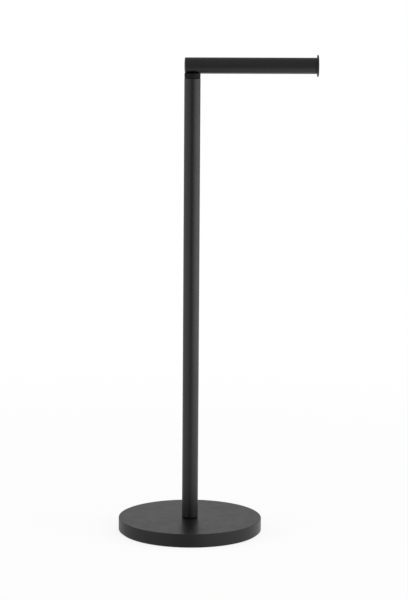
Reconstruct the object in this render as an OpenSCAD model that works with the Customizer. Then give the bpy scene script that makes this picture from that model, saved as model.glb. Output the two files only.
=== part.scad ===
// Free-standing toilet roll holder: a weighted round base, a tube post, and a
// horizontal arm that swivels on top of the post and ends in a flange that keeps
// the roll on. The origin is on the floor under the post, +Z is up, and the arm
// points along +X.

/* [Overall] */
// Height from the floor to the top of the roll stop's flange
total_h = 570; // [400:5:700]

/* [Base] */
// Diameter of the base cover
base_d = 170; // [140:1:220]
// Height of the base cover
cover_h = 15; // [14:0.5:24]
// Sheet thickness of the base cover
cover_wall = 1.2; // [0.8:0.1:1.6]
// Outside radius of the cover's top edge
cover_round = 2; // [1.75:0.25:4]
// Radius on the outside of the cover's lower edge
cover_lip = 0.5; // [0.2:0.1:0.7]
// Play between the cover's skirt and the weight inside it
skirt_gap = 0.5; // [0.2:0.1:1.5]
// Extra chamfer on the weight's top edge, past what clears the cover's corner
weight_chamfer = 1; // [0.5:0.25:3]
// Thickness of the weight left above the bolt pocket
web_t = 4.2; // [3:0.2:5]
// Diameter of the pocket that hides the base bolt
pocket_d = 24; // [20:1:40]
// Thickness of the bottom plate
plate_t = 2; // [1.8:0.1:3]
// Thickness of the foot pad
pad_t = 1.5; // [1:0.25:4]
// How far the foot pad stays inside the cover's edge
pad_inset = 2; // [1:0.25:6]
// Diameter of the hole in the foot pad
pad_hole_d = 32; // [26:1:50]

/* [Base bolt] */
// Thread diameter of the base bolt
bolt_d = 8; // [6:1:8]
// Pitch of the base bolt's thread
bolt_pitch = 1.25; // [1:0.25:1.5]
// Length of the base bolt under its head
bolt_len = 25; // [20:1:40]
// Diameter of the bolt head
bolt_head_d = 14; // [12:0.5:18]
// Height of the bolt head
bolt_head_h = 4.4; // [3.6:0.2:5]
// Width across the flats of the bolt's hexagon socket
bolt_socket_af = 5; // [4:0.5:6]
// Depth of the bolt's hexagon socket
bolt_socket_depth = 2.6; // [1.8:0.2:3]
// Outside diameter of the flat washer
flat_washer_d = 16; // [14:0.5:19]
// Thickness of the flat washer
flat_washer_t = 1.6; // [1:0.2:2]
// Outside diameter of the spring lock washer
lock_washer_d = 14; // [12.5:0.5:16]
// Thickness of the spring lock washer
lock_washer_t = 2; // [1.2:0.2:2.4]
// Width of the lock washer's split
lock_split = 1.2; // [0.6:0.2:2]

/* [Plate screws] */
// Number of screws that hold the bottom plate
plate_screws_n = 3; // [3:1:8]
// Diameter of the circle that the plate screws sit on
plate_screw_circle = 116; // [60:2:128]
// Thread diameter of a plate screw
plate_screw_d = 4; // [3:0.5:4]
// Head diameter of a plate screw
plate_screw_head_d = 7.5; // [6:0.25:7.5]
// Length of a plate screw over all
plate_screw_len = 9; // [6:0.5:10]
// Width of the plate screw's slot
plate_screw_slot = 1; // [0.6:0.1:1.2]
// Depth of the plate screw's slot
plate_screw_slot_depth = 0.9; // [0.6:0.1:1.2]

/* [Post] */
// Outside diameter of the post
post_d = 19; // [18:0.5:32]
// Wall of the post tube
post_wall = 1.2; // [0.8:0.1:1.4]
// Chamfer on the post's upper rim
post_chamfer = 0.6; // [0.2:0.1:0.7]
// Chamfer on the post's lower rim
post_foot_chamfer = 0.3; // [0.1:0.1:0.6]
// Thickness of the seat ring under the post
seat_t = 0.8; // [0.4:0.1:3]
// How far the seat ring stays inside the post's outline
seat_inset = 0.8; // [0.3:0.1:1.2]
// Length of the tapped insert in the post's foot
insert_len = 26; // [20:1:50]

/* [Arm] */
// Outside diameter of the arm
arm_d = 19; // [18:0.5:26]
// Wall of the arm tube
arm_wall = 1.2; // [0.8:0.1:1.6]
// Length of the arm from its closed end to the roll stop's flange
arm_len = 155; // [120:1:200]
// Thickness of the closed end, crown included
end_t = 1.8; // [1.4:0.1:2.4]
// Height of the closed end's shallow crown
end_crown = 0.5; // [0.1:0.1:0.9]
// Radius around the closed end
end_round = 0.8; // [0.2:0.1:1.2]
// Length of the closed end's spigot inside the tube
end_spigot = 1.8; // [1:0.1:2.5]
// How far the anchor reaches past the pivot
anchor_reach = 9; // [6:0.5:20]
// Diameter of the roll stop's flange
stop_d = 25.4; // [25:0.2:40]
// Thickness of the roll stop's flange
stop_t = 1.6; // [1:0.1:5]
// Radius around the flange's edges
stop_round = 0.3; // [0.1:0.1:0.5]
// Width of the roll stop's shoulder, which carries the tube's outline on to the flange
stop_shoulder = 2; // [1:0.25:6]
// Chamfer on each side of the seam between the tube and the roll stop
seam_chamfer = 0.3; // [0.1:0.05:0.5]
// Length of the roll stop's spigot inside the tube
stop_spigot = 12; // [6:1:25]
// Depth of the bore that lightens the roll stop's spigot
stop_bore_depth = 9; // [0.5:0.5:10]
// Wall left around the roll stop's bore
stop_bore_wall = 2; // [1:0.25:4]

/* [Swivel] */
// Height of the neck between the post's rim and the arm's underside
neck_h = 4.8; // [4.4:0.2:14]
// How far the collar climbs up the arm's sides
saddle_rise = 0.9; // [0.6:0.1:4]
// How far the collar stays inside the post's outline
collar_inset = 0.1; // [0.1:0.1:1]
// Chamfer around the collar's lower edge
collar_chamfer = 0.4; // [0.1:0.1:0.8]
// Thickness of the collar between the pivot's shoulder and the arm
collar_web = 2.8; // [2:0.1:3.2]
// Running gap between the post's rim and the collar
rim_gap = 0.4; // [0.2:0.1:0.8]
// How far the bush sits below the post's rim
bush_recess = 0.4; // [0.2:0.1:2]
// Length of the pivot bush
bush_len = 18; // [10:1:40]
// Diameter of the pivot's shoulder
pivot_d = 8; // [7:0.5:8]
// Radial play between the pivot's shoulder and its bush
pivot_play = 0.05; // [0.02:0.01:0.1]
// Diameter of the pivot's two threads
pivot_thread_d = 6; // [5:0.5:6]
// Pitch of the pivot's threads
pivot_pitch = 1; // [0.75:0.25:1.25]
// Length of the thread that screws into the anchor
pivot_top_len = 13; // [8:1:14]
// Length of the thread for the nut
pivot_nut_len = 9; // [8:1:16]
// Width across the flats of the pivot's hexagon socket
pivot_socket_af = 3; // [2:0.5:3]
// Depth of the pivot's hexagon socket
pivot_socket_depth = 3; // [2:0.5:5]
// Outside diameter of the thrust washer
thrust_d = 15; // [12:0.5:15]
// Sheet thickness of a disc spring
spring_t = 0.8; // [0.5:0.1:1.2]
// Height of a disc spring's cone as fitted
spring_cone = 0.3; // [0.2:0.05:0.6]
// Outside diameter of the pivot's flat washer
pivot_washer_d = 13; // [11:0.5:15]
// Thickness of the pivot's flat washer
pivot_washer_t = 1.6; // [1:0.2:2.4]
// Width across the flats of the lock nut
nut_af = 10; // [8:0.5:11]
// Height of the lock nut
nut_h = 6; // [5:0.5:8]

/* [Fits] */
// Play between a thread and the hole it is screwed into, on the radius
thread_play = 0.05; // [0.02:0.01:0.1]
// Play between a fastener or shoulder and a plain hole around it, on the radius
hole_play = 0.4; // [0.2:0.05:0.5]
// Play between the disc springs and the post tube, on the radius
spring_play = 0.3; // [0.2:0.05:0.6]

/* [Hidden] */
$fn = 96;
eps = 0.01;

// Base levels, from the floor up
plate_z = pad_t;
weight_z = plate_z + plate_t;
base_top = pad_t + cover_h;
weight_top = base_top - cover_wall;
weight_r = base_d / 2 - cover_wall - skirt_gap;
pocket_top = weight_top - web_t;
flat_washer_z = pocket_top - flat_washer_t;
lock_washer_z = flat_washer_z - lock_washer_t;

// Arm and swivel levels, from the top down
arm_axis_z = total_h - stop_d / 2;
arm_bottom = arm_axis_z - arm_d / 2;
arm_left = -post_d / 2;
flange_x = arm_left + arm_len;
seam_x = flange_x - stop_shoulder;
post_top = arm_bottom - neck_h;
collar_z = post_top + rim_gap;
shoulder_top = arm_bottom - collar_web;
bush_top = post_top - bush_recess;
bush_z = bush_top - bush_len;
spring_h = spring_t + spring_cone;
shoulder_z = bush_z - 2 * spring_h;
pivot_washer_z = shoulder_z - pivot_washer_t;
nut_z = pivot_washer_z - nut_h;

// Post levels
post_z = base_top + seat_t;
post_bore_r = post_d / 2 - post_wall;
arm_bore_r = arm_d / 2 - arm_wall;
// Depth of a metric thread for a pitch of 1
thread_depth = 0.6134;

coat = "#1e1e20";
plastic = "#161617";
zinc = "#a9adb2";

// Half section of a disc of radius r and height h, with rounded outer edges
module disc_section(r, h, top = 0, bottom = 0) {
    translate([0, bottom]) square([r, h - top - bottom]);
    translate([0, h / 2]) square([r - top, h / 2]);
    square([r - bottom, h / 2]);
    if (top > 0) translate([r - top, h - top]) circle(top);
    if (bottom > 0) translate([r - bottom, bottom]) circle(bottom);
}

// Half section of a shallow spherical cap of base radius r and height h, its top on z = 0
module cap_section(r, h) {
    sphere_r = (r * r + h * h) / (2 * h);
    intersection() {
        translate([0, sphere_r]) circle(sphere_r);
        square([r, h]);
    }
}

// Half section of a disc of radius r and height h, with chamfered outer edges
module chamfered_section(r, h, top, bottom) {
    polygon([[0, 0], [r - bottom, 0], [r, bottom], [r, h - top], [r - top, h], [0, h]]);
}

// Flat ring that stands on z
module ring(outer_d, inner_d, z, h) {
    translate([0, 0, z]) difference() {
        cylinder(d = outer_d, h = h);
        translate([0, 0, -eps]) cylinder(d = inner_d, h = h + 2 * eps);
    }
}

// Threaded rod with one ridge for each turn
module threaded_rod(d, pitch, length) {
    turns = floor(length / pitch);
    root = d / 2 - thread_depth * pitch;
    ridges = [for (i = [0 : turns - 1]) each [[root, i * pitch], [d / 2, (i + 0.5) * pitch]]];
    rotate_extrude() polygon(concat([[0, 0]], ridges, [[root, length], [0, length]]));
}

// Hexagonal prism that stands on z = 0
module hexagon(af, h) {
    cylinder(d = af / cos(30), h = h, $fn = 6);
}

// Sets its children along the arm: their +Z points along +X, with z = 0 at x
module along_arm(x) {
    translate([x, 0, arm_axis_z]) rotate([0, 90, 0]) children();
}

// Places its children at each of the plate's screws
module at_plate_screws() {
    for (i = [0 : plate_screws_n - 1])
        rotate([0, 0, i * 360 / plate_screws_n])
            translate([plate_screw_circle / 2, 0, plate_z])
                children();
}

// Countersunk screw shape, head down on z = 0, with play around the shank
module countersunk(play) {
    neck = (plate_screw_head_d - plate_screw_d) / 2;
    cylinder(d1 = plate_screw_head_d, d2 = plate_screw_d, h = neck);
    cylinder(d = plate_screw_d + 2 * play, h = plate_screw_len);
}

module foot_pad() {
    color("#1f1f20") ring(base_d - 2 * pad_inset, pad_hole_d, 0, pad_t);
}

module bottom_plate() {
    color(zinc) difference() {
        ring(2 * weight_r, pocket_d, plate_z, plate_t);
        at_plate_screws() countersunk(hole_play);
    }
}

module plate_screws() {
    color(zinc) at_plate_screws() difference() {
        countersunk(0);
        translate([-plate_screw_head_d, -plate_screw_slot / 2, -eps])
            cube([2 * plate_screw_head_d, plate_screw_slot, plate_screw_slot_depth + eps]);
    }
}

module ballast_disc() {
    chamfer = cover_round - cover_wall + weight_chamfer;
    height = weight_top - weight_z;
    color("#4a4a4c") difference() {
        translate([0, 0, weight_z]) rotate_extrude()
            chamfered_section(weight_r, height, chamfer, weight_chamfer);
        translate([0, 0, weight_z - eps]) cylinder(d = pocket_d, h = pocket_top - weight_z + eps);
        cylinder(d = bolt_d + 2 * hole_play, h = base_top);
        at_plate_screws()
            cylinder(d = plate_screw_d + 2 * thread_play, h = plate_screw_len + plate_screw_d / 2);
    }
}

module base_cover() {
    inner_r = base_d / 2 - cover_wall;
    color(coat) translate([0, 0, pad_t]) rotate_extrude() difference() {
        disc_section(base_d / 2, cover_h, top = cover_round, bottom = cover_lip);
        translate([0, -1])
            disc_section(inner_r, cover_h - cover_wall + 1, top = cover_round - cover_wall);
        square([bolt_d / 2 + hole_play, cover_h + eps]);
    }
}

module base_bolt() {
    head_z = lock_washer_z - bolt_head_h;
    color(zinc) {
        difference() {
            translate([0, 0, head_z]) rotate_extrude()
                disc_section(bolt_head_d / 2, bolt_head_h, bottom = bolt_head_h / 2);
            translate([0, 0, head_z - eps]) hexagon(bolt_socket_af, bolt_socket_depth + eps);
        }
        translate([0, 0, lock_washer_z - eps]) threaded_rod(bolt_d, bolt_pitch, bolt_len + eps);
    }
}

module base_lock_washer() {
    color(zinc) difference() {
        ring(lock_washer_d, bolt_d + 2 * hole_play, lock_washer_z, lock_washer_t);
        translate([0, -lock_split / 2, lock_washer_z - eps])
            cube([lock_washer_d, lock_split, lock_washer_t + 2 * eps]);
    }
}

module base_flat_washer() {
    color(zinc) ring(flat_washer_d, bolt_d + 2 * hole_play, flat_washer_z, flat_washer_t);
}

module post_seat_ring() {
    color(plastic) ring(post_d - 2 * seat_inset, bolt_d + 2 * hole_play, base_top, seat_t);
}

module post_foot_insert() {
    color(zinc) ring(2 * post_bore_r, bolt_d + 2 * thread_play, post_z, insert_len);
}

module post_tube() {
    height = post_top - post_z;
    color(coat) translate([0, 0, post_z]) rotate_extrude() difference() {
        chamfered_section(post_d / 2, height, post_chamfer, post_foot_chamfer);
        translate([0, -eps]) square([post_bore_r, height + 2 * eps]);
    }
}

module post_top_bush() {
    color("#b5a36a") ring(2 * post_bore_r, pivot_d + 2 * pivot_play, bush_z, bush_len);
}

module thrust_washer() {
    color(plastic) ring(thrust_d, pivot_d + 2 * hole_play, bush_top, rim_gap + bush_recess);
}

// Cone-shaped ring of even thickness, its inner edge spring_cone above its outer edge
module disc_spring() {
    inner = pivot_d / 2 + hole_play;
    outer = post_bore_r - spring_play;
    rotate_extrude() polygon([
        [outer, 0], [outer, spring_t], [inner, spring_h], [inner, spring_cone]
    ]);
}

module disc_springs() {
    color("#77736b") {
        translate([0, 0, bush_z - spring_h]) disc_spring();
        translate([0, 0, bush_z - spring_h]) mirror([0, 0, 1]) disc_spring();
    }
}

module pivot_washer() {
    color(zinc) ring(pivot_washer_d, pivot_thread_d + 2 * hole_play, pivot_washer_z, pivot_washer_t);
}

module pivot_nut() {
    corner_r = nut_af / 2 / cos(30);
    chamfer = corner_r - nut_af / 2;
    color(zinc) translate([0, 0, nut_z]) difference() {
        intersection() {
            hexagon(nut_af, nut_h);
            rotate_extrude() chamfered_section(corner_r, nut_h, 0, chamfer);
        }
        translate([0, 0, -eps]) cylinder(d = pivot_thread_d + 2 * thread_play, h = nut_h + 2 * eps);
    }
}

module pivot_stud() {
    color(zinc) {
        translate([0, 0, shoulder_z]) cylinder(d = pivot_d, h = shoulder_top - shoulder_z);
        translate([0, 0, shoulder_top - eps])
            threaded_rod(pivot_thread_d, pivot_pitch, pivot_top_len + eps);
        difference() {
            translate([0, 0, shoulder_z + eps]) mirror([0, 0, 1])
                threaded_rod(pivot_thread_d, pivot_pitch, pivot_nut_len + eps);
            translate([0, 0, shoulder_z - pivot_nut_len - eps])
                hexagon(pivot_socket_af, pivot_socket_depth + eps);
        }
    }
}

module swivel_collar() {
    height = arm_bottom + saddle_rise - collar_z;
    color(plastic) difference() {
        translate([0, 0, collar_z]) rotate_extrude()
            chamfered_section(post_d / 2 - collar_inset, height, 0, collar_chamfer);
        along_arm(-post_d) cylinder(d = arm_d, h = 2 * post_d);
        translate([0, 0, collar_z - eps])
            cylinder(r = pivot_d / 2 + pivot_play, h = shoulder_top - collar_z + eps);
        translate([0, 0, collar_z])
            cylinder(d = pivot_thread_d + 2 * hole_play, h = height);
    }
}

module arm_tube() {
    tube_x = arm_left + end_t;
    length = seam_x - tube_x;
    color(coat) difference() {
        along_arm(tube_x) rotate_extrude()
            chamfered_section(arm_d / 2, length, seam_chamfer, 0);
        along_arm(tube_x - eps) cylinder(r = arm_bore_r, h = length + 2 * eps);
        translate([0, 0, arm_bottom - eps])
            cylinder(d = pivot_thread_d + 2 * hole_play, h = arm_d / 2);
    }
}

module arm_anchor() {
    anchor_x = arm_left + end_t + end_spigot;
    color(zinc) difference() {
        along_arm(anchor_x) cylinder(r = arm_bore_r, h = anchor_reach - anchor_x);
        translate([0, 0, arm_bottom])
            cylinder(d = pivot_thread_d + 2 * thread_play, h = pivot_top_len - collar_web + pivot_pitch);
    }
}

module arm_end_cap() {
    rim_h = end_t - end_crown;
    color(coat) along_arm(arm_left) rotate_extrude() {
        cap_section(arm_d / 2 - end_round, end_crown);
        translate([0, end_crown]) disc_section(arm_d / 2, rim_h, bottom = end_round);
        translate([0, end_crown]) square([arm_bore_r, rim_h + end_spigot]);
    }
}

module roll_stop() {
    bore_r = arm_bore_r - stop_bore_wall;
    spigot_z = -stop_shoulder - stop_spigot;
    color(coat) along_arm(flange_x) rotate_extrude() difference() {
        union() {
            disc_section(stop_d / 2, stop_t, top = stop_round, bottom = stop_round);
            translate([0, -stop_shoulder])
                chamfered_section(arm_d / 2, stop_shoulder + stop_t / 2, 0, seam_chamfer);
            translate([0, spigot_z]) square([arm_bore_r, stop_spigot + eps]);
        }
        translate([0, spigot_z - eps]) square([bore_r, stop_bore_depth + eps]);
    }
}

foot_pad();
bottom_plate();
plate_screws();
ballast_disc();
base_cover();
base_bolt();
base_lock_washer();
base_flat_washer();
post_seat_ring();
post_foot_insert();
post_tube();
post_top_bush();
thrust_washer();
disc_springs();
pivot_washer();
pivot_nut();
pivot_stud();
swivel_collar();
arm_tube();
arm_anchor();
arm_end_cap();
roll_stop();
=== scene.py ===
"""Free-standing toilet roll holder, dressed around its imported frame.

A weighted round base, a slim post and an arm that swivels on it, all in fine matte
black powder coat, with the plastic collar, foam pad and fasteners that go with them.
"""

import math

import bmesh
import bpy
from mathutils import Matrix, Vector


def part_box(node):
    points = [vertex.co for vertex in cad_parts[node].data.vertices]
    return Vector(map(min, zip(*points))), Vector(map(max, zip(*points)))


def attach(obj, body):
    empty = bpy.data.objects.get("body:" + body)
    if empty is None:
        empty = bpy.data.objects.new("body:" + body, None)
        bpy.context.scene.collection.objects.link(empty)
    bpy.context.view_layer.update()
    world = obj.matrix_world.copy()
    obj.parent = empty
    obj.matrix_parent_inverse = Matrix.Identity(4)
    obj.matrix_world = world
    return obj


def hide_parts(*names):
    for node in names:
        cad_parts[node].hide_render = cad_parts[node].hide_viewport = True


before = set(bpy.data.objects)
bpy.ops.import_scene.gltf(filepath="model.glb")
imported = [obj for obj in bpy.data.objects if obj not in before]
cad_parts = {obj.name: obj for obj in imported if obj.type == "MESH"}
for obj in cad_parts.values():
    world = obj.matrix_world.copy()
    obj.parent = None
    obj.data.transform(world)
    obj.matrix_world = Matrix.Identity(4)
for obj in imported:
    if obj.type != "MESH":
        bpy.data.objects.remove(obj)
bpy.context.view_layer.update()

MM = 0.001
FULL_TURN = 2 * math.pi
SMOOTH_ANGLE = math.radians(32)
SAME_PLACE = 1e-6


# Levels and sizes, read from the frame

def low(node):
    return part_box(node)[0]


def high(node):
    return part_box(node)[1]


COVER_R = high("base_cover").x
BASE_TOP = high("base_cover").z
PAD_R = high("foot_pad").x
PAD_T = high("foot_pad").z
SEAT_R = high("post_seat_ring").x
POST_R = high("post_tube").x
POST_FOOT = low("post_tube").z
POST_TOP = high("post_tube").z
POST_BORE_R = high("post_top_bush").x
ARM_R = high("arm_tube").y
ARM_BORE_R = high("arm_anchor").y
ARM_AXIS = (low("arm_tube").z + high("arm_tube").z) / 2
ARM_LEFT = low("arm_end_cap").x
TUBE_LEFT = low("arm_tube").x
TUBE_RIGHT = high("arm_tube").x
SPIGOT_IN = high("arm_end_cap").x
STOP_IN = low("roll_stop").x
STOP_OUT = high("roll_stop").x
STOP_R = high("roll_stop").y
COLLAR_R = high("swivel_collar").x
COLLAR_LOW = low("swivel_collar").z
COLLAR_HIGH = high("swivel_collar").z

# Details that the frame's boxes don't give
COVER_WALL = 1.2 * MM
COVER_ROUND = 0.8 * MM
COVER_LIP = 0.5 * MM
BOLT_HOLE_R = 4.4 * MM
PAD_HOLE_R = 16 * MM
PAD_EDGE = 0.3 * MM
POST_ROUND = 0.6 * MM
POST_FOOT_EDGE = 0.3 * MM
TUBE_INNER_EDGE = 0.2 * MM
SEAT_EDGE = 0.2 * MM
END_CROWN = 0.6 * MM
END_ROUND = 1.1 * MM
SEAM_CHAMFER = 0.3 * MM
STOP_T = 1.6 * MM
STOP_EDGE = 0.3 * MM
STOP_SHOULDER = 2 * MM
STOP_FILLET = 0.8 * MM
STOP_BORE_R = 6.3 * MM
STOP_BORE_DEPTH = 9 * MM
COLLAR_CHAMFER = 0.2 * MM
SADDLE_CUTS = 8
PIVOT_HOLE_R = 3.4 * MM
PIVOT_BORE_R = 4.05 * MM
PIVOT_THREAD = 13 * MM
PIVOT_BORE_TOP = high("pivot_stud").z - PIVOT_THREAD

# Studio. Bearings run around the post, from 0 at the front to 90 degrees on the right.
WHITE = (1, 1, 1, 1)
WHITE_LEVEL = 1.0
FILL_LEVEL = 0.55
FLOOR_HALF = 9
FLOOR_LEVEL = -0.2 * MM
FLOOR_PAINT = (0.8, 0.8, 0.8, 1)
TENT_FLOOR = 0.3 * MM
TENT_R = 2.0
ROOF_GLOW = 0.5
WALL_GLOW = 0.58
GAP_GLOW = 0.17
GAP_FLOOR_SHARE = 0.65
LEFT_PANEL_GLOW = 0.66
RIGHT_PANEL_GLOW = 1.6
EYE = (-0.105, -3.727, 0.963)
YAW = math.radians(1.847)
PITCH = math.radians(10.3845)
ROLL = math.radians(0.387)
LENS = 192.7
FILM = 36


# Mesh making

def turned(outline, steps=144, closed=True):
    """Turns an outline of (radius, height) points about +Z. A closed outline with both
    ends on the axis closes at its poles, and any other one closes on itself."""
    bm = bmesh.new()
    verts = [bm.verts.new((r, 0, z)) for r, z in outline]
    on_axis = outline[0][0] == outline[-1][0] == 0
    follow = verts[1:] + verts[:1] if closed and not on_axis else verts[1:]
    edges = [bm.edges.new(pair) for pair in zip(verts, follow)]
    bmesh.ops.spin(bm, geom=verts + edges, axis=(0, 0, 1), cent=(0, 0, 0),
                   angle=FULL_TURN, steps=steps, use_merge=True)
    bmesh.ops.remove_doubles(bm, verts=bm.verts, dist=SAME_PLACE)
    bmesh.ops.recalc_face_normals(bm, faces=bm.faces)
    return bm


def rim_edges(bm, radius, height):
    """The edges that run around the axis at this radius and height."""
    def on_rim(v):
        return (abs(v.co.xy.length - radius) < SAME_PLACE
                and abs(v.co.z - height) < SAME_PLACE)
    return [e for e in bm.edges if on_rim(e.verts[0]) and on_rim(e.verts[1])]


def ease(bm, radius, height, size, segments=4):
    """Rounds the rim at this radius and height, or fills a corner with a fillet."""
    bmesh.ops.bevel(bm, geom=rim_edges(bm, radius, height), offset=size,
                    offset_type="OFFSET", segments=segments, profile=0.5,
                    affect="EDGES", material=-1, clamp_overlap=True)


def lay_along_arm(bm, x):
    """Lays a piece made around +Z along the arm: its z = 0 goes to x."""
    bmesh.ops.rotate(bm, verts=bm.verts, cent=(0, 0, 0),
                     matrix=Matrix.Rotation(math.radians(90), 3, "Y"))
    bmesh.ops.translate(bm, verts=bm.verts, vec=(x, 0, ARM_AXIS))


def finish_piece(name, bm, material, slot, body, *nodes):
    """Makes the object, dresses it, and sets it on its body in place of CAD nodes."""
    mesh = bpy.data.meshes.new(name)
    bm.to_mesh(mesh)
    bm.free()
    mesh.shade_smooth()
    mesh.set_sharp_from_angle(angle=SMOOTH_ANGLE)
    mesh.materials.append(material)
    piece = bpy.data.objects.new(name, mesh)
    bpy.context.scene.collection.objects.link(piece)
    weighted = piece.modifiers.new("even_shading", "WEIGHTED_NORMAL")
    weighted.keep_sharp = True
    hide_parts(*nodes)
    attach(piece, body)


# Material making

class Nodes:
    """A node tree, and short ways to add nodes to it. Values are numbers or sockets."""

    def __init__(self, tree):
        self.tree = tree

    def add(self, kind, **settings):
        node = self.tree.nodes.new(kind)
        for name, value in settings.items():
            setattr(node, name, value)
        return node

    def link(self, source, target):
        self.tree.links.new(source, target)

    def feed(self, socket, value):
        if isinstance(value, bpy.types.NodeSocket):
            self.link(value, socket)
        else:
            socket.default_value = value

    def math(self, operation, a, b=0.0):
        node = self.add("ShaderNodeMath", operation=operation)
        self.feed(node.inputs[0], a)
        self.feed(node.inputs[1], b)
        return node.outputs[0]

    def length(self, vector):
        node = self.add("ShaderNodeVectorMath", operation="LENGTH")
        self.link(vector, node.inputs[0])
        return node.outputs["Value"]

    def fit(self, value, low_in, high_in, low_out, high_out):
        """Carries a value smoothly from one range to another, and holds it there."""
        node = self.add("ShaderNodeMapRange", interpolation_type="SMOOTHSTEP")
        for name, number in zip(("Value", "From Min", "From Max", "To Min", "To Max"),
                                (value, low_in, high_in, low_out, high_out)):
            self.feed(node.inputs[name], number)
        return node.outputs["Result"]

    def either(self, share, first, second):
        """Goes from the first to the second as the share goes from 0 to 1. The two are
        shaders or plain values."""
        shaders = isinstance(first, bpy.types.NodeSocketShader)
        if shaders:
            node = self.add("ShaderNodeMixShader")
            sockets = node.inputs
        else:
            node = self.add("ShaderNodeMix", data_type="FLOAT")
            sockets = [s for s in node.inputs if s.type == "VALUE"]
        for socket, value in zip(sockets, (share, first, second)):
            self.feed(socket, value)
        return node.outputs[0]

    def surface(self, shader):
        output = self.add("ShaderNodeOutputMaterial")
        self.link(shader, output.inputs["Surface"])


class Finish(Nodes):
    """A material with its Principled shader, and short ways to build its look."""

    def __init__(self, name, color, roughness, metallic=0.0, ior=1.5):
        self.material = bpy.data.materials.new(name)
        self.material.use_nodes = True
        super().__init__(self.material.node_tree)
        self.shader = self.tree.nodes["Principled BSDF"]
        self.set("Base Color", (*color, 1))
        self.set("Roughness", roughness)
        self.set("Metallic", metallic)
        self.set("IOR", ior)
        self.place = self.add("ShaderNodeTexCoord").outputs["Object"]
        self.relief = None

    def set(self, socket, value):
        self.shader.inputs[socket].default_value = value

    def mapped(self, scale=(1, 1, 1), rotation=(0, 0, 0)):
        """Object coordinates, stretched or turned."""
        node = self.add("ShaderNodeMapping")
        node.inputs["Scale"].default_value = scale
        node.inputs["Rotation"].default_value = rotation
        self.link(self.place, node.inputs["Vector"])
        return node.outputs["Vector"]

    def noise(self, scale, detail=2.0, rough=0.5, vector=None):
        node = self.add("ShaderNodeTexNoise")
        node.inputs["Scale"].default_value = scale
        node.inputs["Detail"].default_value = detail
        node.inputs["Roughness"].default_value = rough
        self.link(vector or self.place, node.inputs["Vector"])
        return node.outputs["Fac"]

    def cells(self, scale):
        node = self.add("ShaderNodeTexVoronoi")
        node.inputs["Scale"].default_value = scale
        self.link(self.place, node.inputs["Vector"])
        return node.outputs["Distance"]

    def rings(self, scale, wander):
        """Lathe rings around the upright axis."""
        node = self.add("ShaderNodeTexWave", wave_type="BANDS", bands_direction="Z")
        node.inputs["Scale"].default_value = scale
        node.inputs["Distortion"].default_value = wander
        self.link(self.place, node.inputs["Vector"])
        return node.outputs["Fac"]

    def tint(self, share, first, second):
        """Mixes two colours. The first may be a socket that carries one."""
        node = self.add("ShaderNodeMix", data_type="RGBA")
        self.link(share, node.inputs["Factor"])
        colors = [s for s in node.inputs if s.type == "RGBA"]
        for socket, value in zip(colors, (first, second)):
            self.feed(socket, (*value, 1) if isinstance(value, tuple) else value)
        return next(s for s in node.outputs if s.type == "RGBA")

    def bump(self, height, depth, strength=1.0):
        """Adds relief of this depth in metres on top of the relief so far."""
        node = self.add("ShaderNodeBump")
        node.inputs["Strength"].default_value = strength
        node.inputs["Distance"].default_value = depth
        self.link(height, node.inputs["Height"])
        if self.relief is not None:
            self.link(self.relief, node.inputs["Normal"])
        self.relief = node.outputs["Normal"]

    def done(self, color, roughness):
        self.link(color, self.shader.inputs["Base Color"])
        self.link(roughness, self.shader.inputs["Roughness"])
        self.link(self.relief, self.shader.inputs["Normal"])
        return self.material


def powder_coat():
    """Fine matte black powder coat: orange peel, a dry micro grain, faint clouding, and
    a slightly polished back along the arm, where rolls turn and rub."""
    coat = Finish("powder_coat", (0.005, 0.005, 0.0052), 0.35)
    clouds = coat.noise(38, detail=4, rough=0.55)
    specks = coat.cells(1400)
    tone = coat.fit(clouds, 0.3, 0.7, 0, 1)
    shade = coat.tint(tone, (0.0026, 0.0026, 0.0027), (0.0034, 0.0034, 0.0035))
    grain_tone = coat.fit(specks, 0.0, 0.22, 1, 0)
    shade = coat.tint(coat.math("MULTIPLY", grain_tone, 0.35), shade, (0.0060, 0.0060, 0.0061))

    split = coat.add("ShaderNodeSeparateXYZ")
    coat.link(coat.place, split.inputs[0])
    on_back = coat.fit(split.outputs["Z"], ARM_AXIS + 4 * MM, ARM_AXIS + 8.5 * MM, 0, 1)
    streaks = coat.noise(9, detail=5, rough=0.6, vector=coat.mapped(scale=(4, 60, 60)))
    rubbed = coat.math("MULTIPLY", on_back, coat.fit(streaks, 0.45, 0.75, 0, 0.05))
    dry = coat.fit(coat.noise(90, detail=3), 0.3, 0.7, 0.33, 0.37)
    roughness = coat.math("SUBTRACT", dry, rubbed)

    coat.bump(coat.noise(14, detail=2), 0.00006, 0.35)
    coat.bump(coat.noise(420, detail=2, rough=0.45), 0.00003, 0.2)
    coat.bump(coat.noise(2600, detail=3, rough=0.6), 0.000008, 0.2)
    return coat.done(shade, roughness)


def turned_plastic():
    """Black engineering plastic, turned on a lathe: fine rings and a waxy surface."""
    plastic = Finish("turned_plastic", (0.010, 0.010, 0.0102), 0.55, ior=1.45)
    plastic.set("Specular IOR Level", 0.12)
    tone = plastic.fit(plastic.noise(240, detail=3), 0.3, 0.7, 0, 1)
    shade = plastic.tint(tone, (0.0085, 0.0085, 0.0087), (0.0115, 0.0115, 0.0117))
    roughness = plastic.fit(plastic.noise(700, detail=2), 0.3, 0.7, 0.5, 0.6)
    plastic.bump(plastic.rings(1100, 0.6), 0.000008, 0.5)
    return plastic.done(shade, roughness)


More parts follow.
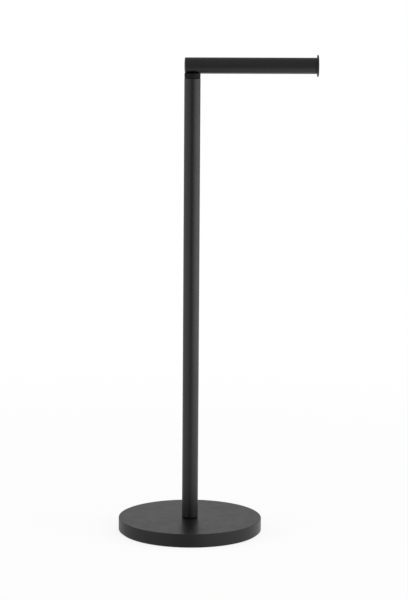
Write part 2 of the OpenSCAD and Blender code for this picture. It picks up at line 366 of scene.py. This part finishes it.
def pad_foam():
    """Closed-cell foam sheet: small pits in painted shade, a skin with a faint press mark,
    grey dust.
    """
    foam = Finish("pad_foam", (0.022, 0.022, 0.022), 0.86, ior=1.45)
    pits = foam.cells(1500)
    pores = foam.cells(4200)
    tone = foam.fit(foam.noise(60, detail=5, rough=0.65), 0.35, 0.7, 0, 1)
    shade = foam.tint(tone, (0.017, 0.017, 0.017), (0.034, 0.033, 0.032))
    # Painted shade: the pits are darkened where the bump below sinks them.
    pit_painted_shade = foam.fit(pits, 0.05, 0.35, 1, 0)
    shade = foam.tint(foam.math("MULTIPLY", pit_painted_shade, 0.5), shade, (0.010, 0.010, 0.010))
    roughness = foam.fit(foam.noise(300, detail=2), 0.3, 0.7, 0.8, 0.95)
    foam.bump(pits, 0.00012, 0.7)
    foam.bump(pores, 0.00004, 0.6)
    return foam.done(shade, roughness)


def sand_casting():
    """Grey iron as it leaves the sand: coarse grain, dark scale and rusty blooms."""
    iron = Finish("sand_casting", (0.075, 0.072, 0.068), 0.72, metallic=0.55)
    scale = iron.fit(iron.noise(55, detail=6, rough=0.65), 0.38, 0.66, 0, 1)
    shade = iron.tint(scale, (0.050, 0.049, 0.048), (0.115, 0.110, 0.104))
    bloom = iron.fit(iron.noise(21, detail=5, rough=0.7), 0.60, 0.72, 0, 0.55)
    shade = iron.tint(bloom, shade, (0.115, 0.052, 0.024))
    roughness = iron.fit(iron.noise(400, detail=3), 0.3, 0.7, 0.6, 0.85)
    iron.bump(iron.noise(260, detail=4, rough=0.6), 0.00035, 0.6)
    iron.bump(iron.cells(900), 0.00015, 0.5)
    return iron.done(shade, roughness)


def zinc_plate():
    """Bright zinc plate on steel: a blue-grey passivated skin with cloudy patches,
    fine handling scratches and a satin base."""
    zinc = Finish("zinc_plate", (0.55, 0.57, 0.60), 0.33, metallic=1.0)
    patches = zinc.fit(zinc.noise(130, detail=4, rough=0.6), 0.35, 0.68, 0, 1)
    shade = zinc.tint(patches, (0.50, 0.53, 0.57), (0.66, 0.67, 0.68))
    warm = zinc.fit(zinc.noise(45, detail=3), 0.55, 0.75, 0, 0.4)
    shade = zinc.tint(warm, shade, (0.62, 0.60, 0.50))
    scratches = zinc.noise(220, detail=3, rough=0.7, vector=zinc.mapped(scale=(1, 16, 1),
                           rotation=(0.3, 0.5, 0.9)))
    roughness = zinc.fit(scratches, 0.35, 0.7, 0.24, 0.42)
    zinc.bump(scratches, 0.00002, 0.35)
    zinc.bump(zinc.noise(1500, detail=2), 0.00001, 0.4)
    return zinc.done(shade, roughness)


def turned_brass():
    """Turned bush metal: warm, with tool rings around the pivot and dull oil stains."""
    brass = Finish("turned_brass", (0.62, 0.48, 0.24), 0.3, metallic=1.0)
    stain = brass.fit(brass.noise(160, detail=4), 0.42, 0.7, 0, 0.7)
    shade = brass.tint(stain, (0.64, 0.50, 0.25), (0.42, 0.31, 0.15))
    roughness = brass.fit(brass.noise(500, detail=2), 0.3, 0.7, 0.22, 0.4)
    brass.bump(brass.rings(1600, 0.4), 0.00001, 0.4)
    return brass.done(shade, roughness)


def oiled_spring_steel():
    """Hardened spring steel under a thin film of oil: dark, blued in patches."""
    steel = Finish("oiled_spring_steel", (0.28, 0.26, 0.24), 0.3, metallic=1.0)
    tint = steel.fit(steel.noise(190, detail=4), 0.35, 0.7, 0, 1)
    shade = steel.tint(tint, (0.30, 0.27, 0.24), (0.17, 0.18, 0.22))
    roughness = steel.fit(steel.noise(600, detail=3), 0.3, 0.7, 0.2, 0.38)
    steel.bump(steel.noise(1100, detail=2), 0.000015, 0.4)
    return steel.done(shade, roughness)


def moulded_nylon():
    """Black moulded nylon, filled with dry lubricant: a faint grey bloom and a fine,
    even texture from the mould."""
    nylon = Finish("moulded_nylon", (0.012, 0.012, 0.012), 0.5, ior=1.53)
    bloom = nylon.fit(nylon.noise(150, detail=3), 0.4, 0.7, 0, 1)
    shade = nylon.tint(bloom, (0.010, 0.010, 0.010), (0.018, 0.018, 0.018))
    roughness = nylon.fit(nylon.noise(500, detail=2), 0.3, 0.7, 0.42, 0.56)
    nylon.bump(nylon.noise(1800, detail=2), 0.00001, 0.4)
    return nylon.done(shade, roughness)


def seat_rubber_painted_shade():
    """Dead-matte black rubber with a little talc left in its pores, in a near-black painted
    shade that stands in for the shadow gap under the post.
    """
    # Painted shade: the ring is made near-black, darker than its own black, to stand in for
    # the shadow gap under the post.
    rubber = Finish("seat_rubber_painted_shade", (0.002, 0.002, 0.002), 0.8, ior=1.45)
    rubber.set("Specular IOR Level", 0.12)
    talc = rubber.fit(rubber.noise(900, detail=3), 0.62, 0.8, 0, 1)
    shade = rubber.tint(talc, (0.0018, 0.0018, 0.0018), (0.006, 0.006, 0.006))
    roughness = rubber.fit(rubber.noise(600, detail=2), 0.3, 0.7, 0.72, 0.88)
    rubber.bump(rubber.noise(1400, detail=3), 0.00002, 0.5)
    return rubber.done(shade, roughness)


# Pieces of the stand

def base_cover_shell(coat):
    """The drawn steel cover: flat top, rounded shoulder, rolled lower lip."""
    inner_r = COVER_R - COVER_WALL
    inner_top = BASE_TOP - COVER_WALL
    bm = turned([(BOLT_HOLE_R, BASE_TOP), (COVER_R, BASE_TOP), (COVER_R, PAD_T),
                 (inner_r, PAD_T), (inner_r, inner_top), (BOLT_HOLE_R, inner_top)],
                steps=192)
    ease(bm, COVER_R, BASE_TOP, COVER_ROUND, segments=8)
    ease(bm, COVER_R, PAD_T, COVER_LIP)
    finish_piece("base_cover_shell", bm, coat, "coat", "stand", "base_cover")


def foot_pad_sheet(foam):
    """The die-cut foam ring under the base, with soft edges."""
    bm = turned([(PAD_HOLE_R, 0), (PAD_R, 0), (PAD_R, PAD_T), (PAD_HOLE_R, PAD_T)],
                steps=160)
    for radius in (PAD_HOLE_R, PAD_R):
        ease(bm, radius, 0, PAD_EDGE, segments=3)
        ease(bm, radius, PAD_T, PAD_EDGE / 2, segments=2)
    finish_piece("foot_pad_sheet", bm, foam, "pad_foam", "stand", "foot_pad")


def post_seat_gasket(rubber):
    """The black ring that the post stands on, in a near-black painted shade that reads as the
    shadow gap.
    """
    bm = turned([(BOLT_HOLE_R, BASE_TOP), (SEAT_R, BASE_TOP), (SEAT_R, POST_FOOT),
                 (BOLT_HOLE_R, POST_FOOT)])
    ease(bm, SEAT_R, BASE_TOP, SEAT_EDGE, segments=2)
    ease(bm, SEAT_R, POST_FOOT, SEAT_EDGE, segments=2)
    finish_piece("post_seat_gasket", bm, rubber, "collar_plastic", "stand",
                 "post_seat_ring")


def post_pipe(coat):
    """The post: a round tube with a broken edge at the foot and a rounded rim."""
    bm = turned([(POST_BORE_R, POST_FOOT), (POST_R, POST_FOOT), (POST_R, POST_TOP),
                 (POST_BORE_R, POST_TOP)])
    ease(bm, POST_R, POST_TOP, POST_ROUND, segments=6)
    ease(bm, POST_R, POST_FOOT, POST_FOOT_EDGE, segments=2)
    ease(bm, POST_BORE_R, POST_TOP, TUBE_INNER_EDGE, segments=2)
    finish_piece("post_pipe", bm, coat, "coat", "stand", "post_tube")


# Pieces of the arm

def swivel_collar_saddle(plastic):
    """The collar: a short turned cylinder, bored for the pivot, whose top is hollowed
    to seat the arm and climbs a little way up its sides."""
    bm = turned([(PIVOT_BORE_R, COLLAR_LOW), (COLLAR_R, COLLAR_LOW),
                 (COLLAR_R, COLLAR_HIGH), (PIVOT_HOLE_R, COLLAR_HIGH),
                 (PIVOT_HOLE_R, PIVOT_BORE_TOP), (PIVOT_BORE_R, PIVOT_BORE_TOP)],
                steps=160)
    ease(bm, COLLAR_R, COLLAR_LOW, COLLAR_CHAMFER, segments=3)
    drop = ARM_AXIS - COLLAR_HIGH
    half_width = math.sqrt(ARM_R ** 2 - drop ** 2)
    for cut in range(-SADDLE_CUTS, SADDLE_CUTS + 1):
        bmesh.ops.bisect_plane(bm, geom=bm.verts[:] + bm.edges[:] + bm.faces[:],
                               plane_co=(0, half_width * cut / SADDLE_CUTS, 0),
                               plane_no=(0, 1, 0), dist=1e-7)
    for vert in bm.verts:
        if vert.co.z > COLLAR_HIGH - SAME_PLACE and abs(vert.co.y) < half_width:
            vert.co.z = ARM_AXIS - math.sqrt(ARM_R ** 2 - vert.co.y ** 2)
    finish_piece("swivel_collar_saddle", bm, plastic, "collar_plastic", "arm",
                 "swivel_collar")


def arm_pipe(coat):
    """The arm: a round tube, chamfered where it meets the roll stop."""
    length = TUBE_RIGHT - TUBE_LEFT
    bm = turned([(ARM_BORE_R, 0), (ARM_R, 0), (ARM_R, length), (ARM_BORE_R, length)])
    ease(bm, ARM_R, length, SEAM_CHAMFER, segments=2)
    lay_along_arm(bm, TUBE_LEFT)
    finish_piece("arm_pipe", bm, coat, "coat", "arm", "arm_tube")


def arm_end_button(coat):
    """The closed end: a slightly crowned button with a rounded rim and a spigot. The
    rings that carry the crown stop short of the rim, to leave its rounding room."""
    thick = TUBE_LEFT - ARM_LEFT
    spigot = SPIGOT_IN - ARM_LEFT
    rings = 10
    crown_r = ARM_R - 1.1 * END_ROUND
    face = [(crown_r * ring / rings, 0) for ring in range(rings + 1)]
    bm = turned(face + [(ARM_R, 0), (ARM_R, thick), (ARM_BORE_R, thick),
                        (ARM_BORE_R, spigot), (0, spigot)])
    for vert in bm.verts:
        if vert.co.z < SAME_PLACE:
            vert.co.z = END_CROWN * (vert.co.xy.length / ARM_R) ** 2
    ease(bm, ARM_R, END_CROWN, END_ROUND, segments=8)
    lay_along_arm(bm, ARM_LEFT)
    finish_piece("arm_end_button", bm, coat, "coat", "arm", "arm_end_cap")


def roll_stop_flange(coat):
    """The roll stop: a thin flange that a fillet joins to a short shoulder, and a bored
    spigot that is pressed into the tube. A fine seam is left at the shoulder's end."""
    inner = STOP_OUT - STOP_T
    seam = inner - STOP_SHOULDER
    bore_end = STOP_IN + STOP_BORE_DEPTH
    outline = [(0, bore_end), (STOP_BORE_R, bore_end), (STOP_BORE_R, STOP_IN),
               (ARM_BORE_R, STOP_IN), (ARM_BORE_R, seam), (ARM_R, seam),
               (ARM_R, inner), (STOP_R, inner), (STOP_R, STOP_OUT), (0, STOP_OUT)]
    bm = turned(outline, steps=160)
    ease(bm, ARM_R, seam, SEAM_CHAMFER, segments=2)
    ease(bm, ARM_R, inner, STOP_FILLET, segments=5)
    ease(bm, STOP_R, inner, STOP_EDGE, segments=3)
    ease(bm, STOP_R, STOP_OUT, STOP_EDGE, segments=3)
    lay_along_arm(bm, 0)
    finish_piece("roll_stop_flange", bm, coat, "coat", "arm", "roll_stop")


def dress(material, *nodes):
    """Gives CAD nodes that stay as they are a better material."""
    for name in nodes:
        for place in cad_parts[name].material_slots:
            place.material = material


# Studio

def stage_material(name):
    """A bare material for the studio, and short ways to add nodes to it."""
    material = bpy.data.materials.new(name)
    material.use_nodes = True
    material.node_tree.nodes.clear()
    return material, Nodes(material.node_tree)


def stage_piece(name, bm, material):
    mesh = bpy.data.meshes.new(name)
    bm.to_mesh(mesh)
    bm.free()
    mesh.materials.append(material)
    piece = bpy.data.objects.new(name, mesh)
    bpy.context.scene.collection.objects.link(piece)
    return piece


def white_rays(nodes):
    """1 for the rays that show the background: camera, glossy and transmission."""
    path = nodes.add("ShaderNodeLightPath").outputs
    seen = nodes.math("MAXIMUM", path["Is Camera Ray"], path["Is Glossy Ray"])
    return nodes.math("MAXIMUM", seen, path["Is Transmission Ray"])


def white_sweep():
    """The background: white where it is seen, and a softer fill where it lights."""
    world = bpy.data.worlds.new("white_sweep")
    bpy.context.scene.world = world
    world.use_nodes = True
    nodes = Nodes(world.node_tree)
    fill = world.node_tree.nodes["Background"]
    fill.inputs["Color"].default_value = WHITE
    fill.inputs["Strength"].default_value = FILL_LEVEL
    white = nodes.add("ShaderNodeBackground")
    white.inputs["Color"].default_value = WHITE
    white.inputs["Strength"].default_value = WHITE_LEVEL
    shown = nodes.either(white_rays(nodes), fill.outputs[0], white.outputs[0])
    nodes.link(shown, world.node_tree.nodes["World Output"].inputs["Surface"])


def pale_floor():
    """A wide pale floor. It keeps the soft shadow around the base, and turns into the
    white background where it is seen."""
    bm = bmesh.new()
    bmesh.ops.create_grid(bm, x_segments=2, y_segments=2, size=FLOOR_HALF)
    bmesh.ops.translate(bm, verts=bm.verts, vec=(0, 0, FLOOR_LEVEL))
    material, nodes = stage_material("pale_floor")
    paint = nodes.add("ShaderNodeBsdfDiffuse")
    paint.inputs["Color"].default_value = FLOOR_PAINT
    glow = nodes.add("ShaderNodeEmission")
    away = nodes.length(nodes.add("ShaderNodeTexCoord").outputs["Object"])
    share = nodes.math("MULTIPLY", white_rays(nodes), nodes.fit(away, 0.1, 1.2, 0.84, 1.0))
    nodes.surface(nodes.either(share, paint.outputs[0], glow.outputs[0]))
    stage_piece("pale_floor", bm, material)


def tent_dome():
    """The tent's shape: a dome over a flat floor, which leaves the object's foot free."""
    rise = [math.radians(3 * step) for step in range(31)]
    dome = [(TENT_R * math.cos(a), TENT_FLOOR + TENT_R * math.sin(a)) for a in rise]
    return turned([(PAD_R + MM, TENT_FLOOR)] + dome, steps=96, closed=False)


def side_panel(nodes, bearing, middle, flat, edge, glow):
    """A bright panel around one bearing. It is even as far as flat degrees from its
    middle, and gone at edge degrees."""
    off = nodes.math("SUBTRACT", bearing, math.radians(middle))
    share = nodes.fit(nodes.math("ABSOLUTE", off), math.radians(flat),
                      math.radians(edge), 1, 0)
    return nodes.math("MULTIPLY", share, glow)


def wall_glow(nodes, bearing, height):
    """The wall's painted glow: a white panel on the left, a brighter one on the right,
    which stands in for cloth nearer the lamps, and both dimmer higher up."""
    panels = nodes.math("ADD", side_panel(nodes, bearing, -70, 0, 90, LEFT_PANEL_GLOW),
                        side_panel(nodes, bearing, 73, 15, 63, RIGHT_PANEL_GLOW))
    sides = nodes.math("MULTIPLY", panels, nodes.fit(height, 0.3, 0.55, 1, 0.4))
    return nodes.math("ADD", sides, WALL_GLOW)


def floor_glow(nodes, bearing, away):
    """The floor inside the tent: its glow is dimmer towards the object, as painted shade of
    the object, and dimmer towards the left.
    """
    # Painted shade: the glow falls off near the object's foot.
    return nodes.math("MULTIPLY", nodes.fit(away, 0.1, 0.35, 0.64, 0.9),
                      nodes.fit(bearing, math.radians(-50), math.radians(45), 0.85, 1.15))


def tent_painted_glow():
    """The tent's painted glow, by bearing, by distance from the foot and by height. A gap
    is left dark at the front, for the camera."""
    material, nodes = stage_material("tent_painted_glow")
    place = nodes.add("ShaderNodeTexCoord").outputs["Object"]
    split = nodes.add("ShaderNodeSeparateXYZ")
    nodes.link(place, split.inputs[0])
    x, y, height = split.outputs
    bearing = nodes.math("ARCTAN2", x, nodes.math("MULTIPLY", y, -1))
    away = nodes.length(place)
    closed = nodes.math("ADD", nodes.fit(bearing, math.radians(-36), 0, 1, 0),
                        nodes.fit(bearing, math.radians(-4), math.radians(18), 0, 1))
    wall = nodes.either(closed, GAP_GLOW, wall_glow(nodes, bearing, height))
    floor = floor_glow(nodes, bearing, away)
    floor = nodes.either(closed, nodes.math("MULTIPLY", floor, GAP_FLOOR_SHARE), floor)
    level = nodes.either(nodes.fit(away, 0.1, 1.7, 0, 1), floor, wall)
    level = nodes.either(nodes.fit(height, 0.6, 1.1, 0, 1), level, ROOF_GLOW)
    # Painted glow: the tent's light is its own emission, not lamp light falling on cloth.
    glow = nodes.add("ShaderNodeEmission")
    nodes.link(level, glow.inputs["Strength"])
    nodes.surface(glow.outputs[0])
    return material


def light_tent():
    """A tent that glows, standing in for cloth lit from outside, and that only gloss sees."""
    tent = stage_piece("light_tent", tent_dome(), tent_painted_glow())
    tent.visible_camera = False
    tent.visible_diffuse = False
    tent.visible_shadow = False
    tent.visible_transmission = False


def softbox(name, spot, aim, size, power):
    """A square soft lamp at a spot, turned towards its aim. Gloss sees the tent instead."""
    lamp = bpy.data.lights.new(name, "AREA")
    lamp.shape = "SQUARE"
    lamp.size = size
    lamp.energy = power
    box = bpy.data.objects.new(name, lamp)
    bpy.context.scene.collection.objects.link(box)
    box.location = spot
    box.rotation_euler = (Vector(aim) - Vector(spot)).to_track_quat("-Z", "Y").to_euler()
    box.visible_camera = False
    box.visible_glossy = False


def camera():
    """The camera, a long lens a little above the arm, turned and rolled slightly."""
    ahead = Vector((math.sin(YAW) * math.cos(PITCH), math.cos(YAW) * math.cos(PITCH),
                    -math.sin(PITCH)))
    level_right = Vector((math.cos(YAW), -math.sin(YAW), 0))
    level_up = level_right.cross(ahead)
    right = level_right * math.cos(ROLL) + level_up * math.sin(ROLL)
    up = level_up * math.cos(ROLL) - level_right * math.sin(ROLL)
    lens = bpy.data.cameras.new("camera")
    lens.lens = LENS
    lens.sensor_width = FILM
    lens.clip_end = 100
    eye = bpy.data.objects.new("camera", lens)
    bpy.context.scene.collection.objects.link(eye)
    turn = Matrix((right, up, -ahead)).transposed()
    eye.matrix_world = Matrix.Translation(EYE) @ turn.to_4x4()
    bpy.context.scene.camera = eye


camera()
white_sweep()
pale_floor()
light_tent()
softbox("roof_softbox", spot=(0.5, -0.4, 3.2), aim=(0, 0, 0.2), size=2.6, power=42)
softbox("left_softbox", spot=(-3.0, -0.6, 1.4), aim=(0, 0, 0.3), size=1.8, power=30)
softbox("right_softbox", spot=(3.0, -0.8, 1.4), aim=(0, 0, 0.3), size=1.8, power=36)
bpy.context.scene.view_settings.view_transform = "Standard"

coat = powder_coat()
plastic = turned_plastic()
zinc = zinc_plate()
spring = oiled_spring_steel()

base_cover_shell(coat)
foot_pad_sheet(pad_foam())
post_seat_gasket(seat_rubber_painted_shade())
post_pipe(coat)
swivel_collar_saddle(plastic)
arm_pipe(coat)
arm_end_button(coat)
roll_stop_flange(coat)

dress(sand_casting(), "ballast_disc")
dress(zinc, "bottom_plate", "plate_screws", "base_bolt", "base_flat_washer",
      "post_foot_insert", "pivot_washer", "pivot_nut", "pivot_stud", "arm_anchor")
dress(spring, "base_lock_washer", "disc_springs")
dress(turned_brass(), "post_top_bush")
dress(moulded_nylon(), "thrust_washer")
